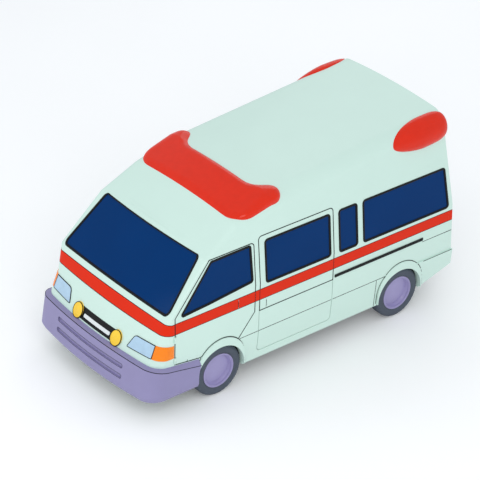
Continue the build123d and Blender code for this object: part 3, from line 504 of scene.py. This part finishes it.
def laid_line(name, nodes, path, ray, half=LINE_HALF, least=0.0, closed=False):
    """A dark ribbon laid on some nodes along a path of start points, skipping what lies deeper than least."""
    tree = tree_of(*nodes)
    verts = []
    faces = []
    first = None
    last = None
    for k, start in enumerate(path):
        run = path[min(k + 1, len(path) - 1)] - path[max(k - 1, 0)]
        side = run.cross(ray).normalized() * half
        hits = [tree.ray_cast(start + side * s, ray)[0] for s in (-1, 1)]
        if any(h is None or -h.dot(ray) < least for h in hits):
            last = None
            continue
        now = len(verts)
        verts += [h - ray * LINE_LIFT for h in hits]
        if last is not None:
            faces.append((last, last + 1, now + 1, now))
        elif first is None:
            first = now
        last = now
    if closed and last is not None:
        faces.append((last, last + 1, first + 1, first))
    if faces:
        piece(name, verts, faces, "seal_and_shade", BODY_OF[nodes[0]])


# painted shade: a dark line at the foot of the raised brow round each wheel arch, on both sides
for side, hand in (("left", 1), ("right", -1)):
    ray = Vector((0, -hand, 0))
    for axle in ("front", "rear"):
        axle_x = middle_of(f"tyre_{axle}_left").x
        r = BROW_R + LINE_HALF
        leg = [BROW_LOW_Z + (BROW_MID_Z - BROW_LOW_Z) * k / 8 for k in range(8)]
        turns = [math.radians(a) for a in range(0, 181, 3)]
        line = [(r, z) for z in leg]
        line += [(r * math.cos(a), BROW_MID_Z + r * math.sin(a)) for a in turns]
        line += [(-r, z) for z in leg[::-1]]
        path = [Vector((axle_x + x, 2 * hand, z)) for x, z in line]
        laid_line(f"brow_line_{axle}_{side}", ("side_panels", "rear_bumper"), path, ray, least=0.80)
    back_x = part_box("rear_bumper")[0][0] + 0.012
    brow_x = middle_of("tyre_rear_left").x - BROW_R
    for name, nodes, z, front_x in (
            ("rear_bumper_line", ("rear_bumper", "side_panels"), 0.5358, brow_x),
            ("rear_post_line", ("rear_posts", "side_panels"), 0.7580, POST_X)):
        path = [Vector((back_x + (front_x - back_x) * k / 24, 2 * hand, z)) for k in range(25)]
        laid_line(f"{name}_{side}", nodes, path, ray, least=0.70)

SLOT_HALF = (0.490, 0.018)
SLOT_R = 0.014
SLOTS_Z = (0.372, 0.479)
SLOT_CLEAR = 0.0032
SLOT_LINE_HALF = 0.0020
# painted shade: a dark outline round each slot recess of the front bumper
for z in SLOTS_Z:
    corner = [half - SLOT_R for half in SLOT_HALF]
    grown = SLOT_R + SLOT_CLEAR
    line = []
    for turn, (su, sv) in enumerate(((1, 1), (-1, 1), (-1, -1), (1, -1))):
        for k in range(7):
            a = math.radians(90 * turn + 15 * k)
            line.append((su * corner[0] + grown * math.cos(a), sv * corner[1] + grown * math.sin(a)))
        if su == sv:
            end_y, end_z = line[-1]
            line += [(end_y - 2 * su * corner[0] * k / 40, end_z) for k in range(1, 40)]
    path = [Vector((3, y, z + v)) for y, v in line]
    laid_line(f"slot_line_{round(z * 1000)}", ("front_bumper",), path, Vector((-1, 0, 0)),
              half=SLOT_LINE_HALF, closed=True)


# x and z of the ledge's edge, at the side ends and at the front
LEDGE_END = (1.254, 0.462)
LEDGE_FRONT = (1.910, 0.587)
# section of the dark strip of painted shade along the edge: offset outward and upward from the edge
LEDGE_SHADE_SECTION = ((0.0012, -0.0034), (0.0014, 0.0012), (-0.0034, 0.0016))


def ledge_line():
    """Points along the edge between the bumper's face and its ledge, in order round the bumper."""
    bm = merged("front_bumper")
    slope = (LEDGE_FRONT[1] - LEDGE_END[1]) / (LEDGE_FRONT[0] - LEDGE_END[0])
    points = set()
    for e in bm.edges:
        if len(e.link_faces) == 2:
            low, high = sorted((f.normal for f in e.link_faces), key=lambda n: n.z)
            middle = (e.verts[0].co + e.verts[1].co) / 2
            level = LEDGE_END[1] + slope * (middle.x - LEDGE_END[0])
            if high.z > 0.4 and low.z < 0.35 and abs(middle.z - level) < 0.004:
                points |= {tuple(v.co) for v in e.verts}
    bm.free()
    return [Vector(p) for p in sorted(points, key=lambda p: math.atan2(p[1], p[0] - 1.2))]


# painted shade: a dark strip along the edge between the bumper's face and its ledge
ledge = ledge_line()
verts = []
faces = []
for k, p in enumerate(ledge):
    run = (ledge[min(k + 1, len(ledge) - 1)] - ledge[max(k - 1, 0)]).normalized()
    out = run.cross(Vector((0, 0, 1))).normalized()
    verts += [p + out * u + Vector((0, 0, v)) for u, v in LEDGE_SHADE_SECTION]
    if k:
        a = 3 * (k - 1)
        faces += [(a + j, a + j + 1, a + j + 4, a + j + 3) for j in range(2)]
piece("bumper_ledge_line", verts, faces, "seal_and_shade", "body")

JOINT_Z = 1.545
JOINT_HALF = 0.013
JOINT_REACH = 0.40
JOINT_COLUMNS = 80
JOINT_LIFT = Vector((0.0006, 0, 0.0010))
# first x of the search for the joint, its step and its number of steps
JOINT_SEARCH = (1.05, 0.001, 121)


def roof_joint():
    """A painted cover strip over the joint of roof and front panel."""
    tree = tree_of("roof", "front_panel", "side_panels")
    down = Vector((0, 0, -1))

    def top(x, y):
        return tree.ray_cast(Vector((x, y, 3)), down)[0]

    start, step, count = JOINT_SEARCH
    verts = []
    for k in range(JOINT_COLUMNS + 1):
        y = JOINT_REACH * (2 * k / JOINT_COLUMNS - 1)
        hits = [top(start + step * j, y) for j in range(count)]
        x = min((abs(h.z - JOINT_Z), h.x) for h in hits if h is not None)[1]
        for off in (-JOINT_HALF, JOINT_HALF):
            verts.append(top(x + off, y) + JOINT_LIFT)
    faces = [(2 * k, 2 * k + 1, 2 * k + 3, 2 * k + 2) for k in range(JOINT_COLUMNS)]
    piece("roof_joint_strip", verts, faces, "paint", "body")


roof_joint()


# Roof beacons: the bar is a soft-edged lens on the roof, the eggs are lenses round the rear corners
BAR_EDGE_R = 0.090
BAR_PROUD = 0.036
BAR_STEP = 0.007
BAR_MARGIN = 0.06
BAR_ROUND = 0.078
BAR_SMOOTH = 24
BESIDE = ((0, 0), (1, 0), (-1, 0), (0, 1), (0, -1))
BAR_AXIS_Z = 1.25
BAR_SPREAD_DEG = 74.0
BAR_CURVE = 2.5
BAR_TUCK = 0.02
BAR_RIM_STEP = 0.003
BAR_AXIS_R = 0.75


def bar_height(d):
    """Height over the roof at a distance inside the outline, below it outside."""
    if d <= 0:
        return BAR_CURVE * BAR_PROUD / BAR_EDGE_R * d
    return BAR_PROUD * (1 - (1 - min(d / BAR_EDGE_R, 1)) ** BAR_CURVE)


def beacon_bar(faces_of_bar, bm):
    """A lens over the roof whose height falls away towards the outline of the CAD bar."""
    def out(c):
        return Vector((0.2, c.y, c.z - BAR_AXIS_Z)).normalized()

    top = [f for f in faces_of_bar if f.normal.z > 0.04 and f.normal.dot(out(f.calc_center_median())) > 0.1]
    loop = max(rim_loops(bm, top), key=length_of)
    rim = []
    for k, (p, _) in enumerate(loop):
        run = p - loop[k - 1][0]
        cuts = max(1, int(run.length / BAR_RIM_STEP))
        rim += [p - run * (j / cuts) for j in range(cuts)]
    near = KDTree(len(rim))
    for k, p in enumerate(rim):
        near.insert(p, k)
    near.balance()
    cover = BVHTree.FromPolygons([v.co for v in bm.verts], [[v.index for v in f.verts] for f in top])
    roof = tree_of("roof")
    xs = [p.x for p in rim]
    columns = int((max(xs) - min(xs) + 2 * BAR_MARGIN) / BAR_STEP)
    rows = int(2 * math.radians(BAR_SPREAD_DEG) * BAR_AXIS_R / BAR_STEP)
    depth = {}
    skin = {}
    for i in range(columns + 1):
        x = min(xs) - BAR_MARGIN + i * BAR_STEP
        for j in range(rows + 1):
            angle = math.radians(BAR_SPREAD_DEG) * (2 * j / rows - 1)
            ray = Vector((0, -math.sin(angle), -math.cos(angle)))
            start = Vector((x, 0, BAR_AXIS_Z)) - ray * 2
            hit = roof.ray_cast(start, ray)[0]
            if hit is None:
                continue
            over = near.find(hit - ray * BAR_PROUD)[2]
            depth[i, j] = over if cover.ray_cast(start, ray)[0] is not None else -over
            skin[i, j] = (hit, ray)
    core = [key for key, d in depth.items() if d > BAR_ROUND]
    inside = KDTree(len(core))
    for k, key in enumerate(core):
        inside.insert(skin[key][0], k)
    inside.balance()
    for key, d in depth.items():
        if d <= BAR_ROUND:
            depth[key] = BAR_ROUND - inside.find(skin[key][0])[2]
    for _ in range(BAR_SMOOTH):
        depth = {
            (i, j): sum(depth.get((i + a, j + b), d) for a, b in BESIDE) / len(BESIDE)
            for (i, j), d in depth.items()}
    verts = {}
    for key, (hit, ray) in skin.items():
        if depth[key] > -BAR_TUCK:
            verts[key] = hit - ray * bar_height(depth[key])
    index = {key: k for k, key in enumerate(verts)}
    faces = []
    for i, j in verts:
        corners = [(i, j), (i + 1, j), (i + 1, j + 1), (i, j + 1)]
        if all(c in verts for c in corners):
            faces.append([index[c] for c in corners])
    return piece("beacon_bar", list(verts.values()), faces, "beacon", "body")


EGG_MID = Vector((-1.490, 0.697, 1.900))
EGG_NOSE = 0.435
EGG_TAIL = 0.312
EGG_HALF = 0.152
EGG_BULGE = 0.098
EGG_TILT = math.radians(22)
EGG_PITCH = math.radians(2.5)
EGG_POINT = 1.55
EGG_FULLNESS = 3.8
EGG_GRID = (72, 64)
EGG_TUCK = 0.012


def egg_beacons():
    """Both rear lenses: long eggs, fuller at the tail, trimmed a little under the skin."""
    body = tree_of("roof", "side_panels", "rear_posts", "tailgate")
    turn = Matrix.Rotation(EGG_TILT, 3, "X") @ Matrix.Rotation(EGG_PITCH, 3, "Y")
    around, along = EGG_GRID
    verts = []
    faces = []
    for hand in (1, -1):
        first = len(verts)
        shows = []
        centre = Vector((EGG_MID.x, hand * EGG_MID.y, EGG_MID.z))
        for i in range(along + 1):
            t = math.pi * i / along
            reach = math.cos(t)
            x = (EGG_NOSE if reach > 0 else EGG_TAIL) * reach
            bend = EGG_POINT if reach > 0 else EGG_FULLNESS
            ring = max(1 - abs(reach) ** bend, 0) ** (1 / bend)
            for j in range(around):
                a = 2 * math.pi * j / around
                p = turn @ Vector((x, EGG_BULGE * ring * math.cos(a), EGG_HALF * ring * math.sin(a)))
                p = EGG_MID + p
                p = Vector((p.x, hand * p.y, p.z))
                out = (p - centre).normalized()
                hit = body.ray_cast(centre + out * 1.5, -out)[0]
                verts.append(p)
                shows.append(hit is None or (p - centre).length > (hit - centre).length - EGG_TUCK)
        for i in range(along):
            for j in range(around):
                k = (j + 1) % around
                corners = (i * around + j, i * around + k, (i + 1) * around + k, (i + 1) * around + j)
                if any(shows[c] for c in corners):
                    face = [first + c for c in corners]
                    faces.append(face if hand < 0 else face[::-1])
    bm = bmesh.new()
    made = [bm.verts.new(v) for v in verts]
    for face in faces:
        bm.faces.new([made[k] for k in face])
    bmesh.ops.remove_doubles(bm, verts=bm.verts[:], dist=1e-5)
    bmesh.ops.delete(bm, geom=[v for v in bm.verts if not v.link_faces], context="VERTS")
    bmesh.ops.recalc_face_normals(bm, faces=bm.faces[:])
    return piece("beacon_eggs", *to_lists(bm), "beacon", "body")


beacon_mesh = merged("beacons")
beacon_mesh.verts.index_update()
bar = beacon_bar(max(islands(beacon_mesh), key=lambda g: sum(f.calc_area() for f in g)), beacon_mesh)
beacon_mesh.free()
egg_piece = egg_beacons()
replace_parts(bar, "beacons")
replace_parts(egg_piece, "beacons")


# Tyres with tread
TREAD_R = 0.262
GROOVE = 0.0075
SIPE = 0.006
TYRE_SEGMENTS = 192
SIPE_EVERY = 6
# radius, half width and whether the cross grooves cut it
TYRE_HALF = (
    (0.1576, 0.0575, 0), (0.1760, 0.0575, 0), (0.1800, 0.0635, 0), (0.1860, 0.0655, 0), (0.1970, 0.0705, 0),
    (0.2030, 0.0716, 0), (0.2045, 0.0732, 0), (0.2075, 0.0734, 0), (0.2090, 0.0726, 0), (0.2240, 0.0745, 0),
    (0.2380, 0.0718, 0), (0.2470, 0.0668, 1), (0.2530, 0.0620, 1), (0.2580, 0.0545, 1), (0.2605, 0.0470, 1),
    (TREAD_R, 0.0400, 1), (TREAD_R, 0.0290, 1), (TREAD_R - GROOVE, 0.0275, 0),
    (TREAD_R - GROOVE, 0.0225, 0), (TREAD_R, 0.0210, 1), (TREAD_R, 0.0060, 1), (TREAD_R - GROOVE, 0.0045, 0))
TYRE_PROFILE = TYRE_HALF + tuple((r, -w, cut) for r, w, cut in TYRE_HALF[::-1])


def tread_cut(i, j):
    """Cross grooves, staggered between the two halves of the tread."""
    shift = 0 if TYRE_PROFILE[j][1] > 0 else SIPE_EVERY // 2
    return SIPE * TYRE_PROFILE[j][2] if (i + shift) % SIPE_EVERY == 0 else 0.0


for wheel in WHEELS:
    centre = middle_of("tyre_" + wheel)
    hand = math.copysign(1, centre.y)
    profile = [(r, w * hand) for r, w, _ in TYRE_PROFILE]
    tyre = revolved(
        "tread_tyre_" + wheel, profile, centre, TYRE_SEGMENTS, "tyre", "wheel_" + wheel, tread_cut)
    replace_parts(crisp(tyre, 30), "tyre_" + wheel)


# Cushions
PAD_VOXEL = 0.016
PAD_FRAMES = 14
PAD_GAP = 0.014
PAD_EDGE_R = 0.018


def rounded_box(name, low, high, radius, finish, body):
    """A box with rounded edges."""
    bm = bmesh.new()
    bmesh.ops.create_cube(bm, size=1.0)
    size = Vector(high) - Vector(low)
    for v in bm.verts:
        v.co = Vector(low) + Vector((size[k] * (v.co[k] + 0.5) for k in range(3)))
    bmesh.ops.bevel(bm, geom=bm.edges[:], offset=radius, segments=3, profile=0.5, affect="EDGES")
    return piece(name, *to_lists(bm), finish, body)


def pad(name, low, high):
    """A stuffed cushion: a smaller block blown up by cloth simulation inside its own box."""
    low = Vector(low)
    high = Vector(high)
    room = Vector((PAD_GAP, PAD_GAP, PAD_GAP))
    made = rounded_box(name, low + room, high - room, PAD_EDGE_R, "vinyl", "body")
    bpy.context.view_layer.objects.active = made
    mesher = made.modifiers.new("remesh", "REMESH")
    mesher.mode = "VOXEL"
    mesher.voxel_size = PAD_VOXEL
    bpy.ops.object.modifier_apply(modifier="remesh")
    cloth = made.modifiers.new("cloth", "CLOTH")
    cloth.settings.use_pressure = True
    cloth.settings.uniform_pressure_force = 4.0
    cloth.settings.effector_weights.gravity = 0.0
    for frame_number in range(1, PAD_FRAMES + 1):
        bpy.context.scene.frame_set(frame_number)
    bpy.ops.object.modifier_apply(modifier="cloth")
    bpy.context.scene.frame_set(1)
    for v in made.data.vertices:
        v.co = Vector(max(low[k], min(high[k], v.co[k])) for k in range(3))
    made.data.shade_smooth()
    return made


def row_of_pads(name, low, high, count):
    """Equal pads side by side along the length of a box."""
    x0, y0, z0 = low
    x1, y1, z1 = high
    edges = [x0 + (x1 - x0) * j / count for j in range(count + 1)]
    return [pad(f"{name}_{j}", (edges[j], y0, z0), (edges[j + 1], y1, z1)) for j in range(count)]


cushion_mesh = merged("cushions")
blocks = []
for group in islands(cushion_mesh):
    points = [v.co for f in group for v in f.verts]
    blocks.append([[pick(p[k] for p in points) for k in range(3)] for pick in (min, max)])
cushion_mesh.free()
PEDESTAL = 0.5
SEAT_BASE_H = 0.27
BACK_DEPTH = 0.11
HEADREST_H = 0.16
BENCH_PAD_H = 0.10
BENCH_PADS = 2
MATTRESS_PADS = 3
BOX_EDGE_R = 0.01
soft = []
for k, (low, high) in enumerate(blocks):
    size = [b - a for a, b in zip(low, high)]
    x0, y0, z0 = low
    x1, y1, z1 = high
    if size[2] > 0.6:
        base_top = z0 + SEAT_BASE_H
        knee = z0 + SEAT_BASE_H * PEDESTAL
        back_x = x0 + BACK_DEPTH
        foot = ((back_x, y0 + 0.03, z0), (x1 - 0.04, y1 - 0.03, knee))
        soft.append(rounded_box(f"seat_base_{k}", *foot, BOX_EDGE_R, "interior", "body"))
        soft.append(pad(f"seat_cushion_{k}", (back_x, y0, knee), (x1, y1, base_top)))
        neck = z1 - HEADREST_H
        soft.append(pad(f"seat_back_{k}", (x0, y0 + 0.01, z0 + 0.2), (back_x, y1 - 0.01, neck)))
        soft.append(pad(f"headrest_{k}", (x0 + 0.01, y0 + 0.10, neck), (back_x - 0.01, y1 - 0.10, z1)))
    elif size[2] > 0.2:
        lid = z1 - BENCH_PAD_H
        box = ((x0, y0, z0), (x1, y1 - 0.02, lid))
        soft.append(rounded_box(f"bench_box_{k}", *box, BOX_EDGE_R, "interior", "body"))
        soft += row_of_pads(f"bench_pad_{k}", (x0, y0, lid), high, BENCH_PADS)
    else:
        soft += row_of_pads("mattress", low, high, MATTRESS_PADS)
for made in soft:
    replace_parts(made, "cushions")


# Bare plates, laid on what is behind them
def laid_sheet(name, tree, start, ray, across, up, size, thick, body):
    """A thin plate that follows the surface that a ray meets, with turned-in corners."""
    columns = 24
    rows = 6
    verts = []
    for lift in (0.0, thick):
        for i in range(columns + 1):
            for j in range(rows + 1):
                u = i / columns - 0.5
                v = j / rows - 0.5
                cut = 0.96 if i in (0, columns) and j in (0, rows) else 1.0
                hit = tree.ray_cast(start + across * (u * size[0] * cut) + up * (v * size[1] * cut), ray)[0]
                verts.append(hit - ray * (lift + 0.0004))
    grid = (columns + 1) * (rows + 1)
    faces = []
    for i in range(columns):
        for j in range(rows):
            a = grid + i * (rows + 1) + j
            faces.append((a, a + rows + 1, a + rows + 2, a + 1))
    edge = [i * (rows + 1) for i in range(columns + 1)]
    edge += [columns * (rows + 1) + j for j in range(1, rows + 1)]
    edge += [i * (rows + 1) + rows for i in range(columns - 1, -1, -1)]
    edge += [j for j in range(rows - 1, 0, -1)]
    for k, a in enumerate(edge):
        b = edge[(k + 1) % len(edge)]
        faces.append((a, b, grid + b, grid + a))
    return crisp(piece(name, verts, faces, "plate", body))


X = Vector((1, 0, 0))
Y = Vector((0, 1, 0))
Z = Vector((0, 0, 1))
FRONT_PLATE = (0.392, 0.032)
REAR_PLATE = (0.33, 0.165)
laid_sheet("front_plate", tree_of("grille"), Vector((3, 0, 0.642)), -X, Y, Z, FRONT_PLATE, 0.004, "body")
laid_sheet("rear_plate", tree_of("tailgate"), Vector((-3, 0, 0.70)), X, Y, Z, REAR_PLATE, 0.003, "tailgate")


# Stage, camera and light
ground_mesh = bpy.data.meshes.new("ground")
ground_mesh.from_pydata([(-60, -60, 0), (60, -60, 0), (60, 60, 0), (-60, 60, 0)], [], [(0, 1, 2, 3)])
ground_mesh.materials.append(
    material("ground", srgb(252, 253, 253), rough=0.8, vary=0.006, scale=0.6, glow=0.10))
ground = bpy.data.objects.new("ground", ground_mesh)
bpy.context.scene.collection.objects.link(ground)

CAM_AZ = math.radians(49.485)
CAM_EL = math.radians(31.473)
CAM_ROLL = math.radians(2.290)
CAM_DIST = 22.613
CAM_TARGET = Vector((0.0976, 0.0, 0.9391))
FOCAL_PX = 2386.7
PHOTO_PX = 480.0
back = Vector((math.cos(CAM_EL) * math.cos(CAM_AZ), math.cos(CAM_EL) * math.sin(CAM_AZ), math.sin(CAM_EL)))
right = Vector((-math.sin(CAM_AZ), math.cos(CAM_AZ), 0))
up = back.cross(right)
tilted_right = right * math.cos(CAM_ROLL) + up * math.sin(CAM_ROLL)
tilted_up = up * math.cos(CAM_ROLL) - right * math.sin(CAM_ROLL)
camera = bpy.data.objects.new("camera", bpy.data.cameras.new("camera"))
bpy.context.scene.collection.objects.link(camera)
camera.data.sensor_width = 36.0
camera.data.lens = camera.data.sensor_width * FOCAL_PX / PHOTO_PX
camera.data.clip_end = 200.0
turned = Matrix((tilted_right, tilted_up, back)).transposed().to_4x4()
camera.matrix_world = Matrix.Translation(CAM_TARGET + back * CAM_DIST) @ turned
bpy.context.scene.camera = camera


def area_light(name, at, aim, size, power):
    lamp = bpy.data.lights.new(name, "AREA")
    lamp.shape = "DISK"
    lamp.size = size
    lamp.energy = power
    made = bpy.data.objects.new(name, lamp)
    made.location = at
    made.rotation_euler = (Vector(aim) - Vector(at)).to_track_quat("-Z", "Y").to_euler()
    bpy.context.scene.collection.objects.link(made)


area_light("key", (5.0, 7.5, 8.0), (0, 0, 0.9), 6.0, 260)
area_light("front_fill", (9.0, -3.0, 5.0), (0.4, 0, 0.9), 6.0, 110)
area_light("back", (-7.0, -5.0, 7.0), (0, 0, 1.0), 6.0, 60)
world = bpy.data.worlds.new("studio")
world.use_nodes = True
world.node_tree.nodes["Background"].inputs["Color"].default_value = (0.93, 0.96, 1.0, 1)
world.node_tree.nodes["Background"].inputs["Strength"].default_value = 0.80
bpy.context.scene.world = world
bpy.context.scene.view_settings.view_transform = "Standard"
